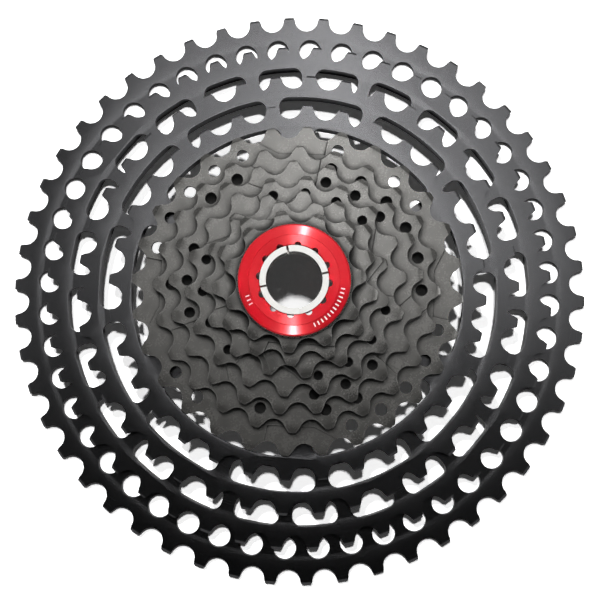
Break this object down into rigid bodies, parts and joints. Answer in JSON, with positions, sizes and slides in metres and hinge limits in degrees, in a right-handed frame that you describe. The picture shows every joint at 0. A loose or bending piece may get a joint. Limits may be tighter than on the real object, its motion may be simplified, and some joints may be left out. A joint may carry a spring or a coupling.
{
  "type": "cassette sprocket",
  "caption": "Bicycle cassette: a black stepped alloy tooth-ring cluster, grey steel sprockets on a splined bore, held by a red lockring with a white plug.",
  "frame": {"origin": "on the axis, at the back face of the largest tooth ring, which is what the part lies on", "axes": "+Z along the axis towards the lockring, +X and +Y across the tooth rings, +Y up in the picture"},
  "size_m": [0.2052, 0.2052, 0.0435],
  "materials": {
    "black_alloy": "black anodised, satin",
    "sprocket_steel": "dark plated, satin",
    "spacer_plastic": "matt black",
    "rivet_steel": "plain",
    "dark_steel": "blackened",
    "red_alloy": "red anodised, turned",
    "white_plastic": "satin"
  },
  "bodies": {
    "cluster": {"alloy_cluster": "black_alloy"},
    "riveted_block": {"sprocket_28": "sprocket_steel", "sprocket_24": "sprocket_steel", "sprocket_21": "sprocket_steel", "sprocket_18": "sprocket_steel", "spacer_28_24": "spacer_plastic", "spacer_24_21": "spacer_plastic", "spacer_21_18": "spacer_plastic", "block_rivets": "rivet_steel"},
    "cog_15": {"spacer_18_15": "spacer_plastic", "sprocket_15": "sprocket_steel"},
    "cog_13": {"spacer_15_13": "spacer_plastic", "sprocket_13": "sprocket_steel"},
    "cog_11": {"sprocket_11": "sprocket_steel"},
    "washer": {"lock_washer": "dark_steel"},
    "ring": {"lockring": "red_alloy"},
    "plug": {"split_plug": "white_plastic"}
  },
  "joints": [
    {"name": "block_slide", "type": "slide", "parent": "cluster", "child": "riveted_block", "axis": [0, 0, 1], "range_m": [0, 0.03]},
    {"name": "cog_15_slide", "type": "slide", "parent": "riveted_block", "child": "cog_15", "axis": [0, 0, 1], "range_m": [0, 0.02]},
    {"name": "cog_13_slide", "type": "slide", "parent": "cog_15", "child": "cog_13", "axis": [0, 0, 1], "range_m": [0, 0.02]},
    {"name": "cog_11_slide", "type": "slide", "parent": "cog_13", "child": "cog_11", "axis": [0, 0, 1], "range_m": [0, 0.02]},
    {"name": "washer_rise", "type": "slide", "parent": "cog_11", "child": "washer", "axis": [0, 0, 1], "range_m": [0, 0.00476]},
    {"name": "lockring_turn", "type": "hinge", "parent": "washer", "child": "ring", "pos_m": [0, 0, 0.04154], "axis": [0, 0, 1], "range_deg": [0, 1620]},
    {"name": "plug_pull", "type": "slide", "parent": "ring", "child": "plug", "axis": [0, 0, 1], "range_m": [0, 0.012]}
  ],
  "couplings": [
    {"joint": "lockring_turn", "follows": "washer_rise", "rad_per_m": 5938.7}
  ]
}
